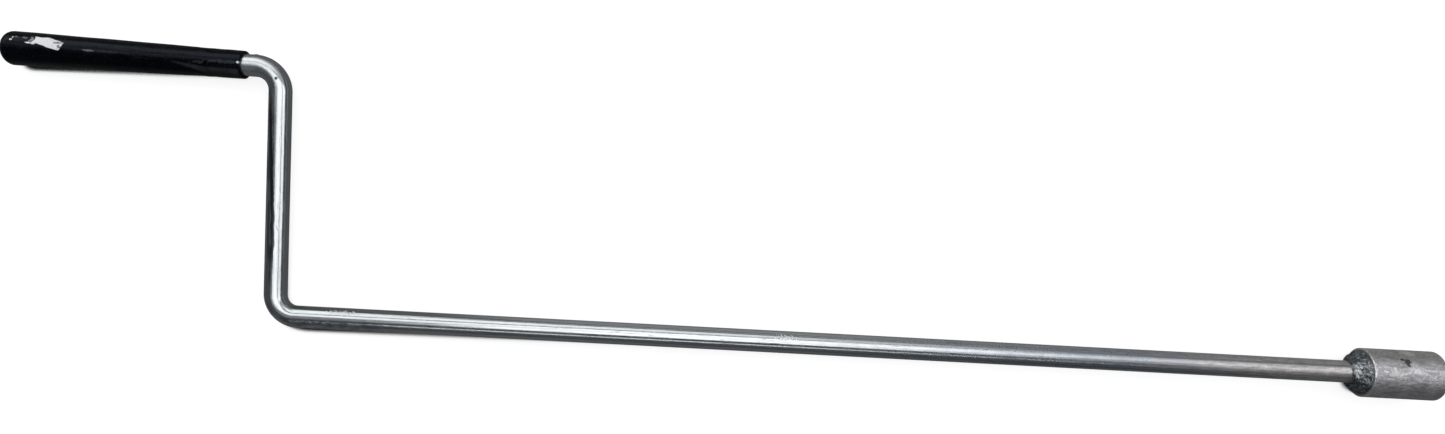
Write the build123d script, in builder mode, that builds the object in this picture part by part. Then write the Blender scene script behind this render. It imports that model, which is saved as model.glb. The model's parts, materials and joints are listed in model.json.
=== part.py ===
from build123d import *
from math import cos, radians, sin, sqrt, tan
import os

# Winding handle for a trailer jack: a round steel bar bent twice into a crank, a hex drive
# socket welded on one end, and a closed vinyl grip that turns freely on the other end.
#
# Frame: the origin is the centre of the socket's mouth, +X points out of the mouth along the
# drive axis, +Y points from the drive axis to the handle, and +Z is up when the crank lies flat.
# Lengths are in millimetres and angles in degrees.

# ---------------------------------------------------------------- driving dimensions
# Crank bar
bar_diameter = 12.7
shaft_length = 666.0  # socket mouth to the lower corner, where the two centrelines cross
throw = 142.5  # lower corner to upper corner
handle_reach = 152.0  # upper corner to the bar's tip inside the grip
shaft_bend_angle = 88.4  # turn of the bar at the lower corner
handle_bend_angle = 87.2  # turn back at the upper corner
shaft_bend_radius = 12.7  # at the bar's centreline
handle_bend_radius = 14.3
bar_end_chamfer = 0.8

# Drive socket
socket_diameter = 28.0
socket_length = 42.0
hex_across_flats = 19.3
hex_depth = 25.0
pilot_margin = 0.15  # how far the drilled pilot hole cuts into the flats of the hex
pilot_run_out = 3.0  # round hole left past the end of the broached hex
drill_point_angle = 118.0
lead_in_margin = 0.5  # how far the mouth's countersink reaches past the hex corners
lead_in_angle = 30.0  # slope of the countersink, from the plane of the mouth
mouth_chamfer = 1.0
rear_chamfer = 0.7
bar_insertion = 11.0  # length of bar held inside the socket
bar_slip_fit = 0.05  # radial clearance between the bar and the socket's rear hole

# Fillet weld between the bar and the socket's rear face
weld_leg_on_bar = 5.4
weld_leg_on_face = 5.8
weld_crown = 1.5  # how far the bead bulges past the straight line between its toes
weld_crest = 3.6  # width of the bead's highest band
ripple_count = 14
ripple_depth = 0.8  # of the crease between two ripples, at the top of the bead
crease_angle = 120.0
crease_shift = 4.0  # degrees by which the creases stray from even spacing
crease_shift_step = 137.5  # makes the straying uneven round the bar

# Grip sleeve
grip_setback = 20.4  # upper corner to the grip's mouth
grip_mouth_diameter = 16.2
grip_end_diameter = 19.8
grip_end_wall = 5.7  # thickness of the closed end, on the axis
grip_end_crown = 3.0  # rise of the closed end's gentle dome
grip_end_rounding = 4.7  # between the dome and the side
grip_mouth_chamfer = 0.6
grip_running_clearance = 0.1  # radial, between the bar and the bore
grip_end_gap = 1.0  # between the bar's tip and the bottom of the bore

# Snap groove in the bar, and the bead inside the grip that runs in it
groove_setback = 16.0  # bar's tip to the middle of the groove
groove_width = 5.0
groove_depth = 0.8
bead_side_play = 0.3  # axial, on each side of the bead
bead_clearance = 0.1  # radial, between the bead and the floor of the groove

# ---------------------------------------------------------------- the crank's centreline
bar_radius = bar_diameter / 2


def heading(angle):
    """Unit vector in the plane of the crank, turned from +X towards +Y."""
    return Vector(cos(radians(angle)), sin(radians(angle)))


leg_heading = heading(180 - shaft_bend_angle)
handle_heading = heading(180 - shaft_bend_angle + handle_bend_angle)

bar_start = Vector(bar_insertion - socket_length, 0)
lower_corner = Vector(-shaft_length, 0)
upper_corner = lower_corner + leg_heading * throw
bar_tip = upper_corner + handle_heading * handle_reach

# In this plane x is the distance from the upper corner along the handle, and y the distance
# from the handle's axis.
handle_plane = Plane(origin=upper_corner, x_dir=handle_heading, z_dir=(0, 0, 1))
handle_axis = Axis(upper_corner, handle_heading)
groove_middle = handle_reach - groove_setback

# ---------------------------------------------------------------- crank bar
# One length of round bar, bent cold at two corners. Its ends are chamfered, and a groove is
# turned near the tip of the handle to hold the grip.
with BuildPart() as crank_bar:
    with BuildLine():
        FilletPolyline(
            bar_start,
            lower_corner,
            upper_corner,
            bar_tip,
            radius=[shaft_bend_radius, handle_bend_radius],
        )
    with BuildSketch(Plane(origin=bar_start, z_dir=(-1, 0, 0))):
        Circle(bar_radius)
    sweep()
    end_faces = crank_bar.faces().filter_by(GeomType.PLANE)
    chamfer(end_faces.edges(), bar_end_chamfer)
    with BuildSketch(handle_plane):
        with Locations((groove_middle, bar_radius)):
            Rectangle(groove_width, 2 * groove_depth)
    revolve(axis=handle_axis, mode=Mode.SUBTRACT)
crank_bar.part.label = "crank_bar"

# ---------------------------------------------------------------- drive socket
# Round stock, drilled from the mouth, broached hexagonal, countersunk to lead the jack's
# spindle in, and bored through from the rear to take the bar.
hex_corner_radius = hex_across_flats / sqrt(3)
pilot_radius = hex_across_flats / 2 + pilot_margin
pilot_depth = hex_depth + pilot_run_out
drill_point_length = pilot_radius / tan(radians(drill_point_angle / 2))
lead_in_radius = hex_corner_radius + lead_in_margin
lead_in_depth = lead_in_radius * tan(radians(lead_in_angle))
socket_rear = Plane.YZ.offset(-socket_length)

with BuildPart() as drive_socket:
    with BuildSketch(Plane.YZ):
        Circle(socket_diameter / 2)
    extrude(amount=-socket_length)
    rear_rim, mouth_rim = drive_socket.edges().filter_by(GeomType.CIRCLE).sort_by(Axis.X)
    chamfer(mouth_rim, mouth_chamfer)
    chamfer(rear_rim, rear_chamfer)
    with BuildSketch(Plane.XY):
        with BuildLine():
            Polyline(
                (0, 0),
                (0, pilot_radius),
                (-pilot_depth, pilot_radius),
                (-pilot_depth - drill_point_length, 0),
                close=True,
            )
        make_face()
    revolve(axis=Axis.X, mode=Mode.SUBTRACT)
    with BuildSketch(Plane.YZ):
        RegularPolygon(radius=hex_across_flats / 2, side_count=6, major_radius=False)
    extrude(amount=-hex_depth, mode=Mode.SUBTRACT)
    with BuildSketch(Plane.XY):
        with BuildLine():
            Polyline((0, 0), (0, lead_in_radius), (-lead_in_depth, 0), close=True)
        make_face()
    revolve(axis=Axis.X, mode=Mode.SUBTRACT)
    with BuildSketch(socket_rear):
        Circle(bar_radius + bar_slip_fit)
    extrude(amount=socket_length - pilot_depth, mode=Mode.SUBTRACT)
drive_socket.part.label = "drive_socket"

# ---------------------------------------------------------------- socket weld
# A hand-laid fillet weld round the bar: a convex bead, creased into uneven ripples. It seats on
# the bar and on the socket's rear face.
toe_on_face = Vector(-socket_length, bar_radius + weld_leg_on_face)
toe_on_bar = Vector(-socket_length - weld_leg_on_bar, bar_radius)
weld_slope = (toe_on_face - toe_on_bar).normalized()
weld_outward = Vector(-weld_slope.Y, weld_slope.X)
weld_top = (toe_on_face + toe_on_bar) / 2 + weld_outward * weld_crown
crease_height = ripple_depth + weld_crown
crease_half_width = crease_height * tan(radians(crease_angle / 2))

with BuildPart() as ripple_crease:
    with BuildSketch(
        Plane(origin=weld_top - weld_outward * ripple_depth, x_dir=(0, 0, -1), z_dir=weld_slope)
    ):
        with BuildLine():
            Polyline(
                (0, 0),
                (crease_half_width, crease_height),
                (-crease_half_width, crease_height),
                close=True,
            )
        make_face()
    extrude(amount=weld_leg_on_bar + weld_leg_on_face, both=True)

with BuildPart() as socket_weld:
    with BuildSketch(Plane.XY):
        with BuildLine():
            Polyline(
                (-socket_length, bar_radius),
                toe_on_bar,
                weld_top - weld_slope * weld_crest / 2,
                weld_top + weld_slope * weld_crest / 2,
                toe_on_face,
                close=True,
            )
        make_face()
    revolve(axis=Axis.X)
    for number in range(ripple_count):
        stray = crease_shift * sin(radians(crease_shift_step * number))
        place = 360 * number / ripple_count + stray
        add(ripple_crease.part, rotation=(place, 0, 0), mode=Mode.SUBTRACT)
socket_weld.part.label = "socket_weld"

# ---------------------------------------------------------------- grip sleeve
# Soft vinyl sleeve with a closed, gently domed end, slightly fatter towards that end. It turns
# on the bar, and a bead inside it snaps into the bar's groove.
bore_radius = bar_radius + grip_running_clearance
bore_bottom = handle_reach + grip_end_gap
grip_tip = bore_bottom + grip_end_wall
bead_radius = bar_radius - groove_depth + bead_clearance
bead_height = bore_radius - bead_radius
bead_foot = groove_width / 2 - bead_side_play
bead_crest = bead_foot - bead_height
dome_radius = ((grip_end_diameter / 2) ** 2 + grip_end_crown**2) / (2 * grip_end_crown)

with BuildPart() as grip_sleeve:
    with BuildSketch(handle_plane) as grip_profile:
        with BuildLine():
            Polyline(
                (grip_tip, 0),
                (grip_setback, 0),
                (grip_setback, grip_mouth_diameter / 2),
                (grip_tip - grip_end_crown, grip_end_diameter / 2),
            )
            RadiusArc(
                (grip_tip - grip_end_crown, grip_end_diameter / 2),
                (grip_tip, 0),
                dome_radius,
            )
        make_face()
        chamfer(grip_profile.vertices().group_by(Axis.X)[0].sort_by(Axis.Y)[-1], grip_mouth_chamfer)
        fillet(grip_profile.vertices().sort_by(Axis.Y)[-1], grip_end_rounding)
    revolve(axis=handle_axis)
    with BuildSketch(handle_plane):
        with BuildLine():
            Polyline(
                (grip_setback, 0),
                (grip_setback, bore_radius),
                (groove_middle - bead_foot, bore_radius),
                (groove_middle - bead_crest, bead_radius),
                (groove_middle + bead_crest, bead_radius),
                (groove_middle + bead_foot, bore_radius),
                (bore_bottom, bore_radius),
                (bore_bottom, 0),
                close=True,
            )
        make_face()
    revolve(axis=handle_axis, mode=Mode.SUBTRACT)
grip_sleeve.part.label = "grip_sleeve"

# ---------------------------------------------------------------- export
os.makedirs("parts", exist_ok=True)
for sub_part in (crank_bar, drive_socket, socket_weld, grip_sleeve):
    export_step(sub_part.part, f"parts/{sub_part.part.label}.step")
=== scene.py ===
import json
from math import atan2, copysign, cos, pi, radians, sin, sqrt, tan

import bmesh
import bpy
from mathutils import Matrix, Vector, noise


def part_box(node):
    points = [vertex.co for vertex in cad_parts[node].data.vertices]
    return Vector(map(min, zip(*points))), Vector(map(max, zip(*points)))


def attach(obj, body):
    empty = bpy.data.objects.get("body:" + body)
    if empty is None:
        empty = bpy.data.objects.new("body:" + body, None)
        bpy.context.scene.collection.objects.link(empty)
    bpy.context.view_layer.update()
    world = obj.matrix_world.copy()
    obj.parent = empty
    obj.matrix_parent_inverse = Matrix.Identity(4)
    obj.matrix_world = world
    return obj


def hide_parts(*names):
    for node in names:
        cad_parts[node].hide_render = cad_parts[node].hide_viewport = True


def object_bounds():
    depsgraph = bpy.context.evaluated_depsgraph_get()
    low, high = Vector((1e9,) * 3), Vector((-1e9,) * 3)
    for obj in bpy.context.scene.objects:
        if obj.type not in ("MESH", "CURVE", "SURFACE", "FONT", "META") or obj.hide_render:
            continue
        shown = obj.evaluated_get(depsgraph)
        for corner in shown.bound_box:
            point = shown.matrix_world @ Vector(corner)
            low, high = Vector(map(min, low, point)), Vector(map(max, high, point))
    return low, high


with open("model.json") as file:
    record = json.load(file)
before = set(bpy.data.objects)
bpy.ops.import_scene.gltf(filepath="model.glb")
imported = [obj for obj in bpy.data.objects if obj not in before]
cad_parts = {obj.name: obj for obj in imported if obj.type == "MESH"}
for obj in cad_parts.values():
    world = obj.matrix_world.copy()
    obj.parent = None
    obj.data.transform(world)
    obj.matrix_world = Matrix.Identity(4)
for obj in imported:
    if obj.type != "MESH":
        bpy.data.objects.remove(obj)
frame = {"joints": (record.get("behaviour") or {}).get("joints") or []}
cad_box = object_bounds()

# ================================================================ crank bar
# One length of drawn 12.7 mm round steel bar, plated with bright zinc and bent cold at two
# corners. It is made here in the same order: drawn out straight towards -X, then bent.
mm = 0.001
bar_start, bar_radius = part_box("crank_bar")[1].x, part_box("crank_bar")[1].z
shaft_length = 666 * mm  # socket's mouth to the lower corner
throw = 142.5 * mm  # lower corner to the upper corner
handle_reach = 152 * mm  # upper corner to the bar's tip
lower_turn, lower_radius = radians(-88.4), 12.7 * mm
upper_turn, upper_radius = radians(87.2), 14.3 * mm
bend_flattening = 0.05  # share by which the outside of a bend is drawn flat
bar_end_chamfer = 0.8 * mm
groove_setback, groove_width, groove_depth = 16 * mm, 5 * mm, 0.8 * mm
drip_rise, drip_reach, drip_height = 1.5 * mm, 1.0 * mm, 0.5 * mm
bar_sides = 72
run_spacing, bend_spacing = 2.6 * mm, 0.9 * mm  # between rings on a straight run and in a bend
merge_distance = 0.002 * mm
crisp_angle = radians(40)

# Places along the bar before it is bent.
lower_tangent = lower_radius * tan(abs(lower_turn) / 2)
upper_tangent = upper_radius * tan(abs(upper_turn) / 2)
lower_bend_start = -shaft_length + lower_tangent
lower_bend_end = lower_bend_start - lower_radius * abs(lower_turn)
upper_bend_start = lower_bend_end - (throw - lower_tangent - upper_tangent)
upper_bend_end = upper_bend_start - upper_radius * abs(upper_turn)
bar_tip = upper_bend_end - (handle_reach - upper_tangent)
groove_start = bar_tip + groove_setback + groove_width / 2
groove_end = groove_start - groove_width


def open_ring(mesh, x, radius, sides):
    """Starts a turned piece with one ring round the X axis, and returns the ring's edges."""
    bmesh.ops.create_circle(mesh, segments=sides, radius=radius)
    bmesh.ops.rotate(mesh, verts=mesh.verts, matrix=Matrix.Rotation(radians(90), 3, "Y"))
    bmesh.ops.translate(mesh, verts=mesh.verts, vec=(x, 0, 0))
    return list(mesh.edges)


def draw_on(mesh, ring, x, radius, spacing=None):
    """Extrudes the open ring to a new place and radius, with more rings between at the spacing.
    The radius is a length, or a function that gives it for each angle round the axis."""
    drawn = bmesh.ops.extrude_edge_only(mesh, edges=ring)["geom"]
    rim = [part for part in drawn if isinstance(part, bmesh.types.BMVert)]
    edges = [part for part in drawn if isinstance(part, bmesh.types.BMEdge)]
    new_ring = [edge for edge in edges if set(rim).issuperset(edge.verts)]
    for vert in rim:
        length = abs(x - vert.co.x)
        new_radius = radius(atan2(vert.co.z, vert.co.y)) if callable(radius) else radius
        growth = new_radius / vert.co.yz.length
        vert.co = (x, vert.co.y * growth, vert.co.z * growth)
    if spacing and length > 1.5 * spacing:
        sides = [edge for vert in rim for edge in vert.link_edges if edge not in new_ring]
        cuts = round(length / spacing) - 1
        bmesh.ops.subdivide_edges(mesh, edges=sides, cuts=cuts, use_grid_fill=True)
    return new_ring


def bend_cold(bar, drawn, start, turn, radius):
    """Bends what lies beyond x = start round an arc, and flattens the outside of the bend."""
    centre = Vector((start, -copysign(radius, turn), 0))
    for vert in bar.verts:
        beyond = start - vert[drawn].x
        if beyond <= 0:
            continue
        swung = min(beyond / radius, abs(turn))
        if vert[drawn].y * turn > 0:
            vert.co.y -= vert[drawn].y * bend_flattening * sin(pi * swung / abs(turn))
        vert.co.x += swung * radius
        vert.co = centre + Matrix.Rotation(copysign(swung, turn), 3, "Z") @ (vert.co - centre)


def finish_mesh(name, mesh, material):
    """Makes an object of a bmesh. Faces point outwards, and only sharp edges stay crisp."""
    bmesh.ops.remove_doubles(mesh, verts=mesh.verts, dist=merge_distance)
    bmesh.ops.recalc_face_normals(mesh, faces=mesh.faces)
    for face in mesh.faces:
        face.smooth = True
    for edge in mesh.edges:
        edge.smooth = edge.calc_face_angle(0) < crisp_angle
    data = bpy.data.meshes.new(name)
    mesh.to_mesh(data)
    mesh.free()
    data.materials.append(material)
    piece = bpy.data.objects.new(name, data)
    bpy.context.scene.collection.objects.link(piece)
    return piece


def new_material(name):
    """Starts a material, and returns it with its node tree."""
    material = bpy.data.materials.new(name)
    material.use_nodes = True
    return material, material.node_tree


def add_node(tree, kind, inputs=None, **settings):
    """Adds a node, sets its settings, and gives each named or numbered input a value or a link."""
    node = tree.nodes.new(kind)
    for setting, value in settings.items():
        setattr(node, setting, value)
    for socket, value in (inputs or {}).items():
        if isinstance(value, bpy.types.NodeSocket):
            tree.links.new(value, node.inputs[socket])
        else:
            node.inputs[socket].default_value = value
    return node


def give_finish(tree, colour, roughness, height, relief, metallic):
    """Gives the material its colour, its roughness and a relief of the given depth."""
    shader = tree.nodes["Principled BSDF"]
    inputs = {"Height": height, "Distance": relief, "Strength": 1.0}
    bump = add_node(tree, "ShaderNodeBump", inputs).outputs["Normal"]
    tree.links.new(colour, shader.inputs["Base Color"])
    tree.links.new(roughness, shader.inputs["Roughness"])
    tree.links.new(bump, shader.inputs["Normal"])
    shader.inputs["Metallic"].default_value = metallic
    return shader


def chained(tree, operation, *values):
    """Runs one operation through all the values or links, from left to right."""
    total = values[0]
    for value in values[1:]:
        inputs = {0: total, 1: value}
        total = add_node(tree, "ShaderNodeMath", inputs, operation=operation).outputs[0]
    return total


def times(tree, *values):
    return chained(tree, "MULTIPLY", *values)


def plus(tree, *values):
    return chained(tree, "ADD", *values)


def minus(tree, *values):
    return chained(tree, "SUBTRACT", *values)


def strongest(tree, *values):
    return chained(tree, "MAXIMUM", *values)


def inverse(tree, mask):
    return minus(tree, 1.0, mask)


def apart(tree, value, other):
    """How far two values are apart."""
    difference = minus(tree, value, other)
    return add_node(tree, "ShaderNodeMath", {0: difference}, operation="ABSOLUTE").outputs[0]


def mixed(tree, base, *parts):
    """Adds to the base each part's value times its weight."""
    return plus(tree, base, *(times(tree, value, weight) for value, weight in parts))


def ramp(tree, value, low, high, to_low=0.0, to_high=1.0):
    """Maps a value smoothly from one range to another."""
    inputs = {
        "Value": value,
        "From Min": low,
        "From Max": high,
        "To Min": to_low,
        "To Max": to_high,
    }
    return add_node(tree, "ShaderNodeMapRange", inputs, interpolation_type="SMOOTHSTEP").outputs[0]


def layered(tree, colour, *layers):
    """Lays colours over the first one. Each comes after the share that it covers with."""
    for share, over in layers:
        inputs = {0: share, 6: colour, 7: over}  # the factor and the two colours
        colour = add_node(tree, "ShaderNodeMix", inputs, data_type="RGBA").outputs[2]
    return colour


def vector_math(tree, operation, *vectors):
    """Runs an operation on vectors, and returns the node's outputs."""
    inputs = dict(enumerate(vectors))
    return add_node(tree, "ShaderNodeVectorMath", inputs, operation=operation).outputs


def split(tree, vector):
    """The X, Y and Z of a vector."""
    return add_node(tree, "ShaderNodeSeparateXYZ", {0: vector}).outputs[:3]


def stretched(tree, vector, along, across):
    """Coordinates scaled by one value along X and by another across it."""
    scales = add_node(tree, "ShaderNodeCombineXYZ", {0: along, 1: across, 2: across}).outputs[0]
    return vector_math(tree, "MULTIPLY", vector, scales)[0]


def speckle(tree, vector, scale, detail=4.0, **more):
    """Plain noise, finer as its scale grows."""
    inputs = {"Vector": vector, "Scale": scale, "Detail": detail, **more}
    return add_node(tree, "ShaderNodeTexNoise", inputs).outputs[0]


def new_effect(name, **inputs):
    """Starts an effect group that takes Vector and the named inputs, and puts out Value."""
    group = bpy.data.node_groups.new(name, "ShaderNodeTree")
    group.interface.new_socket("Vector", in_out="INPUT", socket_type="NodeSocketVector")
    for socket, value in inputs.items():
        kind = "NodeSocketVector" if isinstance(value, tuple) else "NodeSocketFloat"
        new_input = group.interface.new_socket(socket, in_out="INPUT", socket_type=kind)
        new_input.default_value = value
    group.interface.new_socket("Value", in_out="OUTPUT", socket_type="NodeSocketFloat")
    given = group.nodes.new("NodeGroupInput").outputs
    out = group.nodes.new("NodeGroupOutput").inputs["Value"]
    return group, given, out


def effect(tree, group, vector, **inputs):
    """Places an effect group in a material, and returns the value that it puts out."""
    inputs = {"Vector": vector, **inputs}
    return add_node(tree, "ShaderNodeGroup", inputs, node_tree=group).outputs["Value"]


# Lines left by drawing or turning: noise pulled out along X.
lines, given, out = new_effect("lines", Along=14.0, Across=1700.0, Detail=4.0)
pulled = stretched(lines, given["Vector"], given["Along"], given["Across"])
lines.links.new(speckle(lines, pulled, 1.0, given["Detail"]), out)

# Uneven patches, such as spangle, tarnish or grime.
patches, given, out = new_effect("patches", Size=3 * mm, Low=0.4, High=0.6)
scale = chained(patches, "DIVIDE", 1.0, given["Size"])
lumps = speckle(patches, given["Vector"], scale, 6.0, Roughness=0.6)
patches.links.new(ramp(patches, lumps, given["Low"], given["High"]), out)

# Thin stray scratches: the contour line of pulled-out noise, broken up by coarser noise, of which
# a larger Amount keeps more.
scratches, given, out = new_effect(
    "scratches", Along=18.0, Across=480.0, Width=0.016, Amount=0.32
)
pulled = stretched(scratches, given["Vector"], given["Along"], given["Across"])
off_line = apart(scratches, speckle(scratches, pulled, 1.0, 1.0), 0.5)
on_line = inverse(scratches, ramp(scratches, off_line, 0.0, given["Width"]))
whole = ramp(
    scratches,
    speckle(scratches, given["Vector"], 130.0, 3.0),
    minus(scratches, 0.75, given["Amount"]),
    minus(scratches, 0.85, given["Amount"]),
)
scratches.links.new(times(scratches, on_line, whole), out)

# One ragged mark at a place, with its own reach along each axis. It is solid in the middle and
# fades out about the end of its reach.
mark, given, out = new_effect(
    "mark", Place=(0.0, 0.0, 0.0), Reach=(mm, mm, mm), Ragged=0.5, Grain=900.0
)
from_place = vector_math(mark, "SUBTRACT", given["Vector"], given["Place"])[0]
in_reach = vector_math(mark, "DIVIDE", from_place, given["Reach"])[0]
distance = vector_math(mark, "LENGTH", in_reach)["Value"]
rags = minus(mark, speckle(mark, given["Vector"], given["Grain"]), 0.5)
rags = times(mark, rags, given["Ragged"], 4.0)
solid_to, gone_at = 0.7, 1.1
faded = ramp(mark, plus(mark, distance, rags), solid_to, gone_at)
mark.links.new(inverse(mark, faded), out)


def marks(tree, vector, *rows, grain=900.0):
    """The strongest of several marks. A row has a place, a reach, how ragged and how strong."""
    shares = []
    for place, reach, ragged, strength in rows:
        share = effect(tree, mark, vector, Place=place, Reach=reach, Ragged=ragged, Grain=grain)
        shares.append(times(tree, share, strength))
    return strongest(tree, *shares)


# Bright zinc over the lines of the drawn bar. The welding heat has dulled and scorched it towards
# the socket, and the bending dies have matted it from the upper bend on. Grey streaks run along it,
# and the lower bend is stained. The leg is painted a little darker, and streaks of painted shade
# run down its outer side beside a dark vein. All of it follows the bar's surface as it was drawn.
clean_zinc = (0.67, 0.70, 0.71, 1)
dulled_zinc = (0.49, 0.525, 0.59, 1)
scorched_zinc = (0.77, 0.73, 0.72, 1)
scorch_cloud = (0.31, 0.295, 0.30, 1)
dull_cloud = (0.24, 0.25, 0.27, 1)
leg_shade_grey = (0.20, 0.22, 0.24, 1)
fleck_grey = (0.28, 0.28, 0.28, 1)
line_grey = (0.33, 0.36, 0.38, 1)
streak_grey = (0.20, 0.22, 0.25, 1)
scratch_grey = (0.25, 0.26, 0.28, 1)
scuff_white = (0.96, 0.97, 0.98, 1)
vein_and_shade_black = (0.05, 0.05, 0.07, 1)
stain_blue = (0.14, 0.16, 0.21, 1)
pit_black = (0.03, 0.03, 0.03, 1)
heat_start, heat_full = -400 * mm, -100 * mm
scorch_start, scorch_full = -170 * mm, -80 * mm

zinc, tree = new_material("bright_zinc")
drawn = add_node(tree, "ShaderNodeAttribute", attribute_name="drawn").outputs["Vector"]
drawn_x, drawn_y, _ = split(tree, drawn)
blotches = effect(tree, patches, drawn, Size=9 * mm, Low=0.3, High=0.7)
grain = effect(tree, patches, drawn, Size=0.9 * mm, Low=0.35, High=0.65)
cloud_vector = stretched(tree, drawn, 0.5, 1.0)
clouds = effect(tree, patches, cloud_vector, Size=2.4 * mm, Low=0.40, High=0.60)
fleck_vector = stretched(tree, drawn, 0.16, 1.0)
flecks = effect(tree, patches, fleck_vector, Size=1.2 * mm, Low=0.42, High=0.62)
fine_lines = effect(tree, lines, drawn, Along=14.0, Across=1700.0)
long_lines = effect(tree, lines, drawn, Along=1.6, Across=480.0, Detail=1.0)
dark_lines = effect(tree, lines, drawn, Along=2.4, Across=640.0, Detail=0.6)
leg_lines = effect(tree, lines, drawn, Along=45.0, Across=480.0, Detail=4.0)
stray = effect(tree, scratches, drawn)

heat_front = mixed(tree, drawn_x, (blotches, 30 * mm))
heat = ramp(tree, heat_front, heat_start, heat_full)
scorch = ramp(tree, heat_front, scorch_start, scorch_full)
matted = ramp(tree, drawn_x, upper_bend_start - 1 * mm, upper_bend_start - 16 * mm)
on_leg = times(
    tree,
    ramp(tree, drawn_x, lower_bend_end + 6 * mm, lower_bend_end - 12 * mm),
    ramp(tree, drawn_x, upper_bend_start - 4 * mm, upper_bend_start + 15 * mm),
)
by_lower_bend = times(
    tree,
    ramp(tree, drawn_x, lower_bend_start + 75 * mm, lower_bend_start + 30 * mm),
    ramp(tree, drawn_x, lower_bend_end - 4 * mm, lower_bend_end + 8 * mm),
)
scuffs = marks(
    tree,
    drawn,
    ((-0.627, 0.0040, 0.0049), (0.0085, 0.0013, 0.004), 0.7, 1.0),
    ((-0.373, 0.0032, 0.0055), (0.0065, 0.0016, 0.004), 0.7, 1.0),
    grain=500.0,
)
cross_lines = ramp(tree, speckle(tree, drawn, 1100.0, 2.0), 0.48, 0.58)
pit_place = (upper_bend_start - 6.2 * mm, 1.4 * mm, bar_radius)
pit = marks(tree, drawn, (pit_place, (0.8 * mm, 0.8 * mm, 2 * mm), 0.1, 1.0))

# A dark vein wanders down the leg's outer side, with streaks of painted shade beyond it.
outer_side = ramp(tree, drawn_y, 0.2 * mm, -1.2 * mm)
leg_streaks = ramp(tree, leg_lines, 0.46, 0.56)
wander = minus(tree, speckle(tree, stretched(tree, drawn, 70.0, 0.0), 1.0, 3.0), 0.5)
vein_from, vein_to = lower_bend_end - 32 * mm, lower_bend_end - 105 * mm
vein_place = ramp(tree, drawn_x, vein_from, vein_to, 0.1 * mm, -2.8 * mm)
off_vein = apart(tree, drawn_y, mixed(tree, vein_place, (wander, 3.2 * mm)))
vein = times(
    tree,
    ramp(tree, off_vein, 1.2 * mm, 0.8 * mm),
    ramp(tree, drawn_x, lower_bend_end - 8 * mm, lower_bend_end - 26 * mm),
)
vein_and_painted_shade = times(tree, on_leg, strongest(tree, vein, times(tree, outer_side, leg_streaks, 0.6)))
stained = times(tree, by_lower_bend, ramp(tree, drawn_y, 0.6 * mm, -1.4 * mm), clouds)
grey_streaks = times(tree, ramp(tree, dark_lines, 0.47, 0.36), inverse(tree, matted))

scorch_share = times(tree, scorch, mixed(tree, 0.0, (grain, 0.25), (clouds, 0.30)))
dull_share = times(tree, heat, inverse(tree, scorch), clouds, 0.12)
fleck_share = mixed(tree, 0.05, (times(tree, heat, blotches), 0.42), (scorch, 0.12))
colour = layered(
    tree,
    clean_zinc,
    (heat, dulled_zinc),
    (scorch, scorched_zinc),
    (scorch_share, scorch_cloud),
    (dull_share, dull_cloud),
    # Painted shade: the leg is coloured a little darker all over.
    (times(tree, on_leg, 0.16), leg_shade_grey),
    (times(tree, flecks, fleck_share), fleck_grey),
    (times(tree, ramp(tree, fine_lines, 0.35, 0.65), 0.16), line_grey),
    (times(tree, grey_streaks, mixed(tree, 0.16, (heat, 0.55))), streak_grey),
    (times(tree, stray, 0.5), scratch_grey),
    (times(tree, scuffs, cross_lines, 0.85), scuff_white),
    # Painted shade in streaks on the leg's outer side, together with the dark vein.
    (times(tree, vein_and_painted_shade, 0.88), vein_and_shade_black),
    (times(tree, stained, 0.5), stain_blue),
    (times(tree, pit, 0.9), pit_black),
)
roughness = mixed(
    tree,
    0.13,
    (heat, 0.14),
    (scorch, 0.08),
    (matted, 0.13),
    (blotches, 0.05),
    (grain, mixed(tree, 0.04, (heat, 0.06))),
    (scuffs, mixed(tree, 0.08, (cross_lines, 0.34))),
)
height = mixed(
    tree,
    0.0,
    (fine_lines, 0.4),
    (long_lines, 5.0),
    (grain, mixed(tree, 0.12, (heat, 0.7), (scorch, 1.5), (scuffs, 0.5))),
    (times(tree, scuffs, cross_lines), 2.0),
    (stained, 3.0),
    (times(tree, flecks, heat), 0.5),
    (times(tree, on_leg, leg_streaks), -1.2),
    (stray, -0.6),
    (pit, -25.0),
)
give_finish(tree, colour, roughness, height, relief=0.012 * mm, metallic=1.0)

bar = bmesh.new()
ring = open_ring(bar, bar_start, bar_radius - bar_end_chamfer, bar_sides)
bar.faces.new(bar.verts)
for x, radius, spacing in (
    (bar_start - bar_end_chamfer, bar_radius, None),
    (lower_bend_start, bar_radius, run_spacing),
    (lower_bend_end, bar_radius, bend_spacing),
    (upper_bend_start, bar_radius, run_spacing),
    (upper_bend_end, bar_radius, bend_spacing),
    (groove_start, bar_radius, run_spacing),
    (groove_start, bar_radius - groove_depth, None),
    (groove_end, bar_radius - groove_depth, None),
    (groove_end, bar_radius, None),
    (bar_tip + bar_end_chamfer, bar_radius, run_spacing),
    (bar_tip, bar_radius - bar_end_chamfer, None),
):
    ring = draw_on(bar, ring, x, radius, spacing)
bmesh.ops.contextual_create(bar, geom=ring)
drawn_layer = bar.verts.layers.float_vector.new("drawn")
for vert in bar.verts:
    vert[drawn_layer] = vert.co

# A small drip of zinc stands on the outside of the upper bend, where the bar hung for plating.
drip_place = Vector((upper_bend_end, bar_radius, drip_rise))
for vert in bar.verts:
    nearness = 1 - (vert.co - drip_place).length / drip_reach
    if nearness > 0:
        vert.co.yz *= 1 + drip_height * nearness / bar_radius
bend_cold(bar, drawn_layer, upper_bend_start, upper_turn, upper_radius)
bend_cold(bar, drawn_layer, lower_bend_start, lower_turn, lower_radius)
crank_bar = finish_mesh("bent_bar", bar, zinc)
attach(crank_bar, "crank")
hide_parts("crank_bar")
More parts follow.
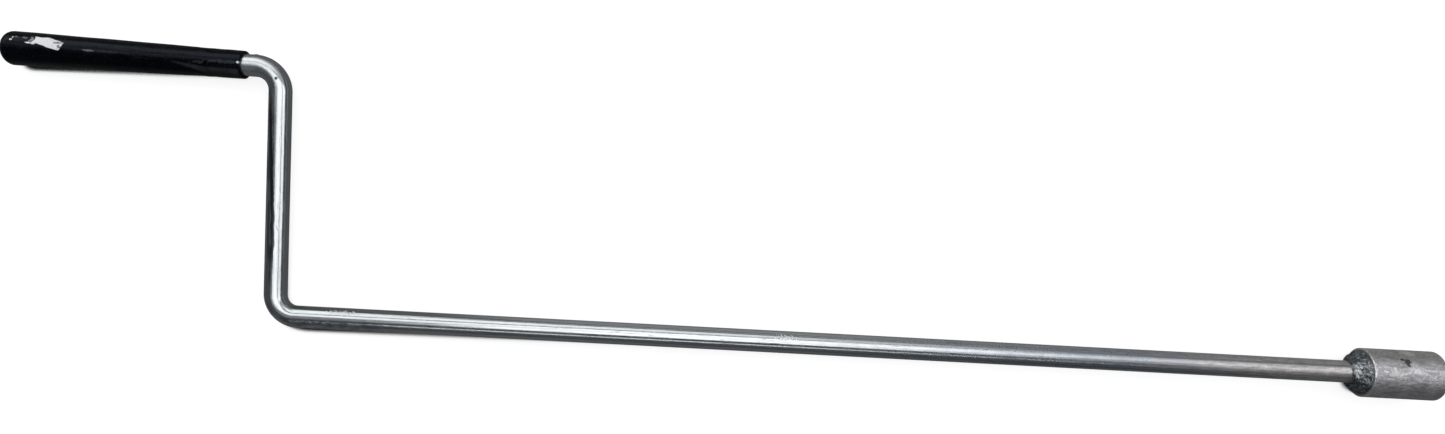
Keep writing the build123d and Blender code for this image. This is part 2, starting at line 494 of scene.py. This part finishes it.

# ================================================================ drive socket
# A short piece of round steel, drilled and broached from the mouth for the jack's hexagon, bored
# from the rear for the bar, and galvanised. Handling has rounded its rims and bared them, and their
# bright colour is partly a painted highlight.
socket_rear, socket_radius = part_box("drive_socket")[0].x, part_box("drive_socket")[1].y
hex_across_flats, hex_depth = 19.3 * mm, 25 * mm
pilot_radius, pilot_depth = hex_across_flats / 2 + 0.15 * mm, hex_depth + 3 * mm
drill_point_angle = radians(118)
lead_in_radius = hex_across_flats / sqrt(3) + 0.5 * mm
lead_in_slope = tan(radians(30))
rear_hole_radius = bar_radius + 0.05 * mm
drill_point_length = (pilot_radius - rear_hole_radius) / tan(drill_point_angle / 2)
rear_rim_rounding, mouth_rim_rounding, inner_rim_rounding = 0.6 * mm, 1.0 * mm, 0.25 * mm
socket_sides, socket_spacing = 120, 3 * mm


def broached(angle):
    """The recess's radius at an angle: a hexagon with flats above and below, on a drilled round."""
    flat_angle = (angle + pi) % (pi / 3) - pi / 6
    return max(hex_across_flats / 2 / cos(flat_angle), pilot_radius)


def round_over(mesh, rim, rounding, segments):
    """Rounds a rim."""
    bmesh.ops.bevel(
        mesh,
        geom=rim,
        offset=rounding,
        segments=segments,
        profile=0.5,
        affect="EDGES",
        clamp_overlap=True,
        material=-1,
    )


# Dull zinc, mottled in soft patches and dragged along the axis by the turned surface under it.
# Its upper side is painted greyer and darker, as painted shade, with a smudge and a pale scuff.
mottle_dark, mottle_pale = (0.49, 0.48, 0.495, 1), (0.74, 0.725, 0.74, 1)
grain_grey = (0.32, 0.32, 0.325, 1)
drag_pale = (0.67, 0.66, 0.68, 1)
dash_dark = (0.24, 0.22, 0.25, 1)
scratch_pale = (0.78, 0.77, 0.78, 1)
upper_shade_grey, upper_shade_dark = (0.62, 0.62, 0.57, 1), (0.22, 0.21, 0.18, 1)
scuff_pale = (0.79, 0.79, 0.75, 1)
smudge_black = (0.08, 0.08, 0.08, 1)
bared_highlight_bright = (0.86, 0.86, 0.87, 1)
recess_shade_grey = (0.25, 0.25, 0.24, 1)

galvanised, tree = new_material("dull_galvanised")
place = add_node(tree, "ShaderNodeTexCoord").outputs["Object"]
place_x, place_y, _ = split(tree, place)
off_axis = vector_math(tree, "LENGTH", stretched(tree, place, 0.0, 1.0))["Value"]
blotches = effect(tree, patches, place, Size=5 * mm, Low=0.32, High=0.68)
grain = effect(tree, patches, place, Size=1.3 * mm, Low=0.36, High=0.66)
dragged = effect(tree, lines, place, Along=85.0, Across=620.0)
dashes = effect(tree, lines, place, Along=120.0, Across=620.0, Detail=2.0)
stray = effect(tree, scratches, place, Along=34.0, Across=420.0, Width=0.024, Amount=0.40)
smudge = marks(
    tree,
    place,
    ((-0.0222, 0.0087, 0.0110), (0.0023, 0.0016, 0.003), 0.4, 1.0),
    ((-0.0248, 0.0096, 0.0103), (0.0015, 0.0008, 0.003), 0.4, 1.0),
    ((-0.0223, 0.0068, 0.0122), (0.0011, 0.0013, 0.003), 0.5, 1.0),
    grain=700.0,
)
scuff = marks(
    tree, place, ((-0.019, 0.0128, 0.0055), (0.0045, 0.0014, 0.004), 0.9, 1.0), grain=600.0
)
outside = ramp(tree, off_axis, lead_in_radius, lead_in_radius + 0.4 * mm)
near_rear = ramp(tree, place_x, socket_rear + 1.1 * mm, socket_rear + 0.4 * mm)
near_mouth = ramp(tree, place_x, -1.1 * mm, -0.4 * mm)
near_edge = ramp(tree, off_axis, socket_radius - 0.9 * mm, socket_radius - 0.4 * mm)
worn_through = ramp(tree, speckle(tree, place, 350.0), 0.3, 0.5)
# Bared rims: partly wear, partly a painted highlight along the rounded rims.
bared_and_highlit = times(tree, plus(tree, near_rear, near_mouth), near_edge, worn_through)
# Painted shade: the socket's upper side is greyed, and darkened in its grain.
upper_painted_shade = times(tree, ramp(tree, place_y, 8.5 * mm, 12 * mm), outside)

colour = layered(
    tree,
    mottle_dark,
    (blotches, mottle_pale),
    (times(tree, grain, 0.55), grain_grey),
    (times(tree, ramp(tree, dragged, 0.42, 0.62), 0.6), drag_pale),
    (times(tree, ramp(tree, dashes, 0.52, 0.64), 0.46), dash_dark),
    (times(tree, stray, 0.5), scratch_pale),
    (times(tree, upper_painted_shade, 0.35), upper_shade_grey),
    (times(tree, upper_painted_shade, grain, 0.5), upper_shade_dark),
    (times(tree, scuff, 0.7), scuff_pale),
    (times(tree, smudge, 0.9), smudge_black),
    (times(tree, bared_and_highlit, 0.9), bared_highlight_bright),
    # Painted shade inside the hexagon recess.
    (inverse(tree, outside), recess_shade_grey),
)
roughness = mixed(tree, 0.42, (grain, 0.16), (bared_and_highlit, -0.2))
height = mixed(tree, grain, (dragged, 1.5), (blotches, 1.5), (stray, -0.15))
give_finish(tree, colour, roughness, height, relief=0.07 * mm, metallic=1.0)

socket = bmesh.new()
first_ring = open_ring(socket, socket_rear, rear_hole_radius, socket_sides)
rear_rim = draw_on(socket, first_ring, socket_rear, socket_radius)
mouth_rim = draw_on(socket, rear_rim, 0, socket_radius, socket_spacing)
inner_rim = draw_on(socket, mouth_rim, 0, lead_in_radius)
ring = draw_on(socket, inner_rim, 0, broached)
for vert in {vert for edge in ring for vert in edge.verts}:
    vert.co.x = (vert.co.yz.length - lead_in_radius) * lead_in_slope
for x, radius in (
    (-hex_depth, broached),
    (-hex_depth, pilot_radius),
    (-pilot_depth, pilot_radius),
    (-pilot_depth - drill_point_length, rear_hole_radius),
    (socket_rear, rear_hole_radius),
):
    ring = draw_on(socket, ring, x, radius)
round_over(socket, rear_rim, rear_rim_rounding, 5)
round_over(socket, mouth_rim, mouth_rim_rounding, 5)
round_over(socket, inner_rim, inner_rim_rounding, 5)
drive_socket = finish_mesh("hex_socket", socket, galvanised)
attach(drive_socket, "crank")
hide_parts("drive_socket")

# ================================================================ socket weld
# A fillet weld laid by hand round the bar. It fills the socket's rear face to the rim, with a
# convex, lumpy bead of overlapping ripples, and it was galvanised over. It is dark, with painted
# glints and a painted highlight at the bar's root.
toe_sink = 0.25 * mm  # how deep the bead's toe sits in the bar
toe_on_bar = Vector((socket_rear - 6.0 * mm, 0, bar_radius - toe_sink))
toe_on_face = Vector((socket_rear + 0.2 * mm, 0, socket_radius - 1.4 * mm))
bead_crown = 1.5 * mm
toe_stray, toe_stray_angle = 2.4 * mm, radians(50)  # the bead runs further along the bar here
bead_rows, bead_sides = 26, 216
ripple_count, ripple_height, ripple_sag, ripple_unevenness = 14, 0.26 * mm, 0.35, 0.35
lump_height, lump_size = 0.6 * mm, 4.0 * mm
knot_height, knot_size = 0.28 * mm, 1.5 * mm
toe_fade = 5  # lumps fade out over a fifth of the bead's width at each toe

weld_dark, weld_highlight_white = (0.105, 0.125, 0.136, 1), (0.76, 0.78, 0.79, 1)
crust_black = (0.035, 0.042, 0.046, 1)

weld_metal, tree = new_material("weld_metal")
place = add_node(tree, "ShaderNodeTexCoord").outputs["Object"]
blotches = effect(tree, patches, place, Size=1.8 * mm, Low=0.46, High=0.64)
# Painted glints: bright spots over the bead, and a painted highlight where it meets the bar.
painted_glints = effect(tree, patches, place, Size=1.1 * mm, Low=0.54, High=0.62)
crust = effect(tree, patches, place, Size=0.8 * mm, Low=0.3, High=0.7)
painted_root_highlight = marks(
    tree, place, ((-0.0486, 0.0015, 0.0072), (0.0030, 0.0040, 0.0028), 0.9, 1.0), grain=380.0
)
glints_and_highlight = strongest(tree, mixed(tree, 0.0, (blotches, 0.40), (painted_glints, 0.75)), painted_root_highlight)
colour = layered(tree, weld_dark, (glints_and_highlight, weld_highlight_white), (times(tree, crust, 0.42), crust_black))
roughness = ramp(tree, glints_and_highlight, 0.0, 1.0, 0.34, 0.20)
height = mixed(tree, crust, (blotches, 0.7))
give_finish(tree, colour, roughness, height, relief=0.11 * mm, metallic=1.0)

weld = bmesh.new()
ring = open_ring(weld, toe_on_bar.x, toe_on_bar.z, bead_sides)
across_bead = toe_on_face - toe_on_bar
bead_outward = Vector((-across_bead.z, 0, across_bead.x)).normalized()
for row in range(1, bead_rows + 1):
    share = row / bead_rows
    bulge = bead_outward * bead_crown * 4 * share * (1 - share)
    profile_point = toe_on_bar + across_bead * share + bulge
    ring = draw_on(weld, ring, profile_point.x, profile_point.z)
ring = draw_on(weld, ring, toe_on_face.x, toe_on_bar.z)
draw_on(weld, ring, toe_on_bar.x, toe_on_bar.z)
for vert in weld.verts:
    from_toe = Vector((vert.co.x, 0, vert.co.yz.length)) - toe_on_bar
    share = from_toe.dot(across_bead) / across_bead.length_squared
    if from_toe.dot(bead_outward) < 0.01 * mm:
        continue
    angle = atan2(vert.co.z, vert.co.y)
    # Read on a ring through the noise, the unevenness meets itself round the bar.
    uneven = ripple_unevenness * noise.noise(Vector((3 * cos(angle), 3 * sin(angle), 7)))
    turn = ripple_count * angle / (2 * pi) + uneven + ripple_sag * 4 * share * (1 - share)
    lift = ripple_height * ((turn % 1) ** 2 - 0.5)
    lift += lump_height * noise.noise(vert.co / lump_size)
    lift += knot_height * noise.noise(vert.co / knot_size)
    lift *= min(1, toe_fade * share, toe_fade * (1 - share))
    outward = (bead_outward.x, bead_outward.z * cos(angle), bead_outward.z * sin(angle))
    vert.co += Vector(outward) * lift
    vert.co.x -= toe_stray * (0.5 + 0.5 * cos(angle - toe_stray_angle)) * (1 - share) ** 2
socket_weld = finish_mesh("fillet_weld", weld, weld_metal)
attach(socket_weld, "crank")
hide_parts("socket_weld")

# ================================================================ grip
# A soft black vinyl sleeve, dipped to shape, with a closed and gently domed end. It slides over
# the bar until the bead inside it snaps into the bar's groove, and it turns freely there.
spin = frame["joints"][0]
upper_corner = Vector(spin["pos_m"])
handle_heading = -Vector(spin["axis"])
handle_angle = atan2(handle_heading.y, handle_heading.x)
grip_mouth, grip_tip = 20.4 * mm, handle_reach + 6.7 * mm
mouth_radius, end_radius = 8.1 * mm, 9.9 * mm
lip_rounding, end_rounding = 0.5 * mm, 4.7 * mm
end_crown = 3 * mm
dome_radius = (end_radius**2 + end_crown**2) / (2 * end_crown)
dome_centre = grip_tip - dome_radius
shoulder_radius = 9.86 * mm  # of the side, where the closed end starts to round
rounding_middle = shoulder_radius - end_rounding
rounding_start = dome_centre + sqrt((dome_radius - end_rounding) ** 2 - rounding_middle**2)
rounding_end = atan2(rounding_middle, rounding_start - dome_centre)
rounding_rows, dome_rows = 12, 6
bore_radius, bore_bottom = bar_radius + 0.1 * mm, handle_reach + 1 * mm
bead_place, bead_foot, bead_crest = handle_reach - groove_setback, 2.2 * mm, 1.5 * mm
bead_radius = bar_radius - 0.7 * mm
grip_sides, side_spacing, bore_spacing = 96, 0.9 * mm, 20 * mm

# The soft wall has broad hollows all over, short puckers near the mouth, and one long dent
# where a thumb pressed it.
hollow_depth, hollow_size = 0.10 * mm, (14 * mm, 6 * mm, 6 * mm)
pucker_depth, pucker_size = 0.16 * mm, (3 * mm, 5 * mm, 5 * mm)
pucker_start, pucker_length = grip_mouth + 10 * mm, 24 * mm
dent_depth, dent_reach = 0.5 * mm, (11 * mm, 2.4 * mm, 3 * mm)
dent_place = Vector((45 * mm, 2.5 * mm, 8 * mm))

# Glossy black, with handling marks along its top: rubs, dust and wiped white paint. A painted sheen
# band, a painted highlight streak and a painted glint on the lip lie near the mouth. It is
# patterned from the upper corner of the crank, along the handle.
deep_black, soft_black = (0.0003, 0.0004, 0.0012, 1), (0.0009, 0.0011, 0.0024, 1)
sheen_band_grey = (0.45, 0.45, 0.48, 1)
dust_grey = (0.30, 0.31, 0.34, 1)
mouth_highlight_grey = (0.50, 0.53, 0.58, 1)
rub_grey = (0.50, 0.55, 0.62, 1)
paint_and_glint_white = (0.98, 0.98, 1.0, 1)
paint_softness = 0.2 * mm


def past(tree, value, edge):
    """0 before the edge and 1 past it, with a soft step between."""
    return ramp(tree, value, minus(tree, edge, paint_softness), plus(tree, edge, paint_softness))


vinyl, tree = new_material("black_vinyl")
mapping = {
    "Vector": add_node(tree, "ShaderNodeTexCoord").outputs["Object"],
    "Location": upper_corner,
    "Rotation": (0, 0, handle_angle),
}
place = add_node(tree, "ShaderNodeMapping", mapping, vector_type="TEXTURE").outputs["Vector"]
along, across, up = split(tree, place)
blotches = effect(tree, patches, place, Size=7 * mm, Low=0.35, High=0.68)
skin = effect(tree, patches, place, Size=0.9 * mm, Low=0.25, High=0.75)
dragged = effect(tree, lines, place, Along=60.0, Across=900.0)
long_folds = effect(tree, lines, place, Along=12.0, Across=330.0, Detail=2.0)
stray = effect(tree, scratches, place, Along=30.0, Across=500.0, Width=0.02, Amount=0.34)

# The paint's main smear is blunt at its front, with a broken tail, thin patches and stray strokes.
# The last stroke is a painted glint on the mouth's lip.
on_top = ramp(tree, up, 1 * mm, 2 * mm)
ragged = minus(tree, speckle(tree, stretched(tree, place, 260.0, 700.0), 1.0, 5.0), 0.5)
near_edge = ramp(tree, along, 119 * mm, 131 * mm, -4.1 * mm, -6.4 * mm)
far_edge = ramp(tree, along, 123 * mm, 138 * mm, 0.5 * mm, -2.8 * mm)
front = mixed(tree, 121.9 * mm, (across, 0.45))
smear = times(
    tree,
    past(tree, mixed(tree, across, (ragged, 1.6 * mm)), near_edge),
    inverse(tree, past(tree, mixed(tree, across, (ragged, 1.2 * mm)), far_edge)),
    past(tree, mixed(tree, along, (ragged, 3 * mm)), front),
    ramp(tree, mixed(tree, along, (ragged, 6 * mm)), 137.8 * mm, 137.2 * mm),
    on_top,
)
thin_streaks = speckle(tree, stretched(tree, place, 300.0, 900.0), 1.0, 4.0)
thin_patches = marks(
    tree,
    place,
    ((0.1236, -0.0037, 0.009), (0.0026, 0.0007, 0.003), 0.6, 1.0),
    ((0.1225, -0.0016, 0.009), (0.0008, 0.0014, 0.003), 0.6, 1.0),
)
thin_paint = strongest(tree, thin_patches, times(tree, ramp(tree, thin_streaks, 0.56, 0.72), 0.5))
strokes_and_glint = marks(
    tree,
    place,
    ((0.1396, -0.0026, 0.009), (0.0021, 0.0005, 0.003), 0.3, 1.0),
    ((0.1372, -0.0022, 0.009), (0.0016, 0.0004, 0.003), 0.3, 1.0),
    ((0.1499, -0.0038, 0.009), (0.0009, 0.0005, 0.003), 0.2, 1.0),
    ((0.1493, -0.0052, 0.008), (0.0005, 0.0006, 0.003), 0.2, 0.7),
    ((0.1385, -0.0047, 0.008), (0.0013, 0.0013, 0.003), 0.7, 0.35),
    ((0.1428, -0.0053, 0.008), (0.0018, 0.0006, 0.003), 0.7, 0.14),
    ((0.1475, -0.0056, 0.008), (0.0013, 0.0005, 0.003), 0.7, 0.14),
    # A painted glint on the mouth's lip, in the paint's white.
    ((0.0213, -0.0003, 0.008), (0.0009, 0.0007, 0.003), 0.1, 0.9),
)
paint_and_glint = strongest(
    tree, times(tree, smear, inverse(tree, times(tree, thin_paint, 0.7))), strokes_and_glint
)

rub = marks(tree, place, ((0.1058, -0.0006, 0.009), (0.0030, 0.0007, 0.003), 0.5, 1.0))
worn_line = marks(tree, place, ((0.0980, -0.0006, 0.009), (0.0110, 0.0006, 0.003), 0.9, 1.0))
rubbed = mixed(tree, 0.0, (rub, 0.8), (worn_line, 0.15))
dust = times(tree, ramp(tree, speckle(tree, place, 1400.0, 2.0), 0.66, 0.72), on_top)
# A painted highlight: a broken pale streak along the top towards the mouth.
mouth_highlight_streak = marks(
    tree,
    place,
    ((0.0290, 0.0, 0.009), (0.0125, 0.0010, 0.003), 0.7, 1.0),
    ((0.0440, 0.0012, 0.009), (0.0050, 0.0008, 0.003), 0.7, 1.0),
    grain=500.0,
)
# A painted sheen: a grey band that curves along towards the mouth.
band_middle = ramp(tree, along, 62 * mm, 36 * mm, 1.8 * mm, 5.2 * mm)
band_reach = ramp(tree, along, 62 * mm, 36 * mm, 0.8 * mm, 2.6 * mm)
painted_sheen_band = times(
    tree,
    ramp(tree, apart(tree, across, band_middle), band_reach, 0.3 * mm),
    ramp(tree, along, 60 * mm, 54 * mm),
    ramp(tree, along, grip_mouth, grip_mouth + 2 * mm),
    ramp(tree, blotches, 0.0, 1.0, 0.5, 1.0),
    on_top,
)

colour = layered(
    tree,
    deep_black,
    (blotches, soft_black),
    (times(tree, painted_sheen_band, 0.08), sheen_band_grey),
    (times(tree, dust, 0.10), dust_grey),
    (times(tree, mouth_highlight_streak, 0.055), mouth_highlight_grey),
    (times(tree, rubbed, 0.25), rub_grey),
    (paint_and_glint, paint_and_glint_white),
)
roughness = mixed(tree, 0.18, (blotches, 0.10), (skin, 0.05), (stray, 0.2), (smear, 0.3))
height = mixed(
    tree,
    0.0,
    (skin, 0.4),
    (dragged, 0.35),
    (long_folds, 4.0),
    (blotches, 1.2),
    (stray, -0.5),
    (paint_and_glint, 2.0),
)
shader = give_finish(tree, colour, roughness, height, relief=0.05 * mm, metallic=0.0)
shader.inputs["Specular IOR Level"].default_value = 0.17
shader.inputs["Specular Tint"].default_value = (0.60, 0.72, 0.92, 1)


def per_axis(vector, sizes):
    """Divides a vector by a size along each axis."""
    return Vector([part / size for part, size in zip(vector, sizes)])


sleeve = bmesh.new()
first_ring = open_ring(sleeve, grip_mouth, bore_radius, grip_sides)
lip = draw_on(sleeve, first_ring, grip_mouth, mouth_radius)
ring = draw_on(sleeve, lip, rounding_start, shoulder_radius, side_spacing)
for row in range(1, rounding_rows + 1):
    angle = pi / 2 + (rounding_end - pi / 2) * row / rounding_rows
    x = rounding_start + end_rounding * cos(angle)
    ring = draw_on(sleeve, ring, x, rounding_middle + end_rounding * sin(angle))
for row in range(1, dome_rows):
    angle = rounding_end * (1 - row / dome_rows)
    ring = draw_on(sleeve, ring, dome_centre + dome_radius * cos(angle), dome_radius * sin(angle))
pole = bmesh.ops.contextual_create(sleeve, geom=ring)["faces"]
pole_centre = bmesh.ops.poke(sleeve, faces=pole)["verts"][0]
pole_centre.co.x = grip_tip
ring = first_ring
for x, radius, spacing in (
    (bead_place - bead_foot, bore_radius, bore_spacing),
    (bead_place - bead_crest, bead_radius, None),
    (bead_place + bead_crest, bead_radius, None),
    (bead_place + bead_foot, bore_radius, None),
    (bore_bottom, bore_radius, bore_spacing),
):
    ring = draw_on(sleeve, ring, x, radius, spacing)
bmesh.ops.contextual_create(sleeve, geom=ring)
round_over(sleeve, lip, lip_rounding, 4)
for vert in sleeve.verts:
    if vert.co.yz.length < bore_radius + 0.5 * mm:
        continue
    pucker = sin(pi * min(max((vert.co.x - pucker_start) / pucker_length, 0), 1))
    dip = hollow_depth * (1 + noise.noise(per_axis(vert.co, hollow_size)))
    dip += pucker_depth * pucker * (1 + noise.noise(per_axis(vert.co, pucker_size)))
    dip += dent_depth * max(1 - per_axis(vert.co - dent_place, dent_reach).length, 0)
    vert.co.yz *= 1 - dip / vert.co.yz.length
onto_handle = Matrix.Translation(upper_corner) @ Matrix.Rotation(handle_angle, 4, "Z")
bmesh.ops.transform(sleeve, verts=sleeve.verts, matrix=onto_handle)
grip_sleeve = finish_mesh("vinyl_grip", sleeve, vinyl)
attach(grip_sleeve, "grip")
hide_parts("grip_sleeve")

# ================================================================ studio
# A plain pale floor that the crank lies on. It touches under the socket, under the lower bend
# and under the grip's closed end, and leans a little because these are not equally thick.
socket_foot = Vector((-0.0210, 0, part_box("drive_socket")[0].z))
bend_foot = Vector((-shaft_length, 0, -bar_radius))
grip_foot = Vector((-0.820, 0.1457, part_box("grip_sleeve")[0].z))
floor_size, floor_gap = 60, 0.1 * mm
floor_up = (bend_foot - socket_foot).cross(grip_foot - socket_foot).normalized()
floor_up *= copysign(1, floor_up.z)
lean = Vector((0, 0, 1)).rotation_difference(floor_up).to_matrix()
floor_mesh = bmesh.new()
bmesh.ops.create_grid(floor_mesh, x_segments=1, y_segments=1, size=floor_size / 2)
bmesh.ops.rotate(floor_mesh, verts=floor_mesh.verts, matrix=lean)
bmesh.ops.translate(floor_mesh, verts=floor_mesh.verts, vec=socket_foot - floor_up * floor_gap)

# To the camera the floor glows evenly bright, but for a painted soft shadow where the crank covers
# it from the light's side. The metal mirrors it darker, with a paler card inside the crank's
# corner.
lit_from = (-0.1, 0.9, 0.45)
contact_reach = 8 * mm
floor_shadow, floor_glow, floor_white = 0.01, 0.84, 0.35
mirrored_floor, mirrored_card = (0.18, 0.184, 0.187, 1), (0.42, 0.422, 0.415, 1)

pale_floor, tree = new_material("pale_floor")
shader = tree.nodes["Principled BSDF"]
seen = add_node(tree, "ShaderNodeLightPath").outputs["Is Camera Ray"]
cover = {
    "Distance": contact_reach,
    "Normal": add_node(tree, "ShaderNodeCombineXYZ", dict(enumerate(lit_from))).outputs[0],
}
uncovered = add_node(tree, "ShaderNodeAmbientOcclusion", cover, samples=32).outputs["AO"]
# Painted shadow: the floor darkens where the crank covers it, read from occlusion.
painted_shadow_paleness = ramp(tree, uncovered, 0.45, 0.62, floor_shadow, 1.0)
floor_x, floor_y, _ = split(tree, add_node(tree, "ShaderNodeTexCoord").outputs["Object"])
card = times(tree, ramp(tree, floor_y, 0.0, 0.03), ramp(tree, floor_x, -0.60, -0.52))
mirrored = layered(tree, mirrored_floor, (card, mirrored_card))
floor_colour = layered(tree, mirrored, (seen, times(tree, painted_shadow_paleness, floor_white)))
glow = times(tree, seen, painted_shadow_paleness, floor_glow)
tree.links.new(floor_colour, shader.inputs["Base Color"])
tree.links.new(glow, shader.inputs["Emission Color"])
shader.inputs["Emission Strength"].default_value = 1.0
shader.inputs["Roughness"].default_value = 0.9
shader.inputs["Specular IOR Level"].default_value = 0.0
floor = finish_mesh("floor", floor_mesh, pale_floor)

# The room is dim to the metal, and white where the camera looks past the floor.
dim_room, white_room = (0.072, 0.077, 0.084, 1), (0.93, 0.93, 0.93, 1)
world = bpy.data.worlds.new("studio")
world.use_nodes = True
bpy.context.scene.world = world
tree = world.node_tree
seen = add_node(tree, "ShaderNodeLightPath").outputs["Is Camera Ray"]
room = layered(tree, dim_room, (seen, white_room))
tree.links.new(room, tree.nodes["Background"].inputs["Color"])

# Soft lights overhead, laid out like panes with narrow gaps between them. Metal shows the gaps
# as thin dark lines beside the bright bands. Each has its X range, Y range and brightness, and
# the far light fades towards the socket.
light_height = 1.5
for name, x_from, x_to, y_from, y_to, brightness in (
    ("near_left_light", -0.96, 0.44, -0.26, 0.35, 1.6),
    ("corner_light", -1.4, -0.96, -0.30, 0.35, 0.16),
    ("middle_left_light", -1.6, 0.46, 0.35, 1.02, 1.5),
    ("outer_left_light", -3.5, -1.6, 0.70, 1.02, 1.5),
    ("far_light", -2.0, 3.2, 1.36, 3.5, 1.5),
    ("far_corner_light", -6.0, -2.0, 1.36, 6.0, 1.5),
    ("near_right_light", 0.76, 3.2, -0.26, 0.35, 1.5),
    ("right_light", 0.62, 3.2, 0.35, 1.13, 1.5),
    ("strip_light", -1.3, 0.6, -1.46, -1.17, 1.5),
    ("horizon_light", -5.0, 5.0, 5.5, 14.0, 0.36),
):
    light = bpy.data.lights.new(name, "AREA")
    light.shape = "RECTANGLE"
    light.size, light.size_y = x_to - x_from, y_to - y_from
    light.energy = brightness * light.size * light.size_y * pi
    if name == "far_light":
        light.use_nodes = True
        tree = light.node_tree
        lamp_x = split(tree, add_node(tree, "ShaderNodeNewGeometry").outputs["Position"])[0]
        fade = ramp(tree, lamp_x, -1.3, 1.1, 1.0, 0.28)
        tree.links.new(fade, tree.nodes["Emission"].inputs["Strength"])
    lamp = bpy.data.objects.new(name, light)
    lamp.location = ((x_from + x_to) / 2, (y_from + y_to) / 2, light_height)
    lamp.visible_camera = False
    bpy.context.scene.collection.objects.link(lamp)

# The camera looks straight down at the middle of the crank, from close by through a wide lens.
camera_height, camera_turn = 0.5719, radians(3)
camera_offset = Vector((0.0021, -0.0008, 0))
middle = (cad_box[0] + cad_box[1]) / 2
camera_data = bpy.data.cameras.new("camera")
camera_data.lens, camera_data.sensor_width = 24.79, 36
camera = bpy.data.objects.new("camera", camera_data)
camera.location = Vector((middle.x, middle.y, camera_height)) + camera_offset
camera.rotation_euler.z = camera_turn
bpy.context.scene.collection.objects.link(camera)
bpy.context.scene.camera = camera
bpy.context.scene.view_settings.view_transform = "Standard"
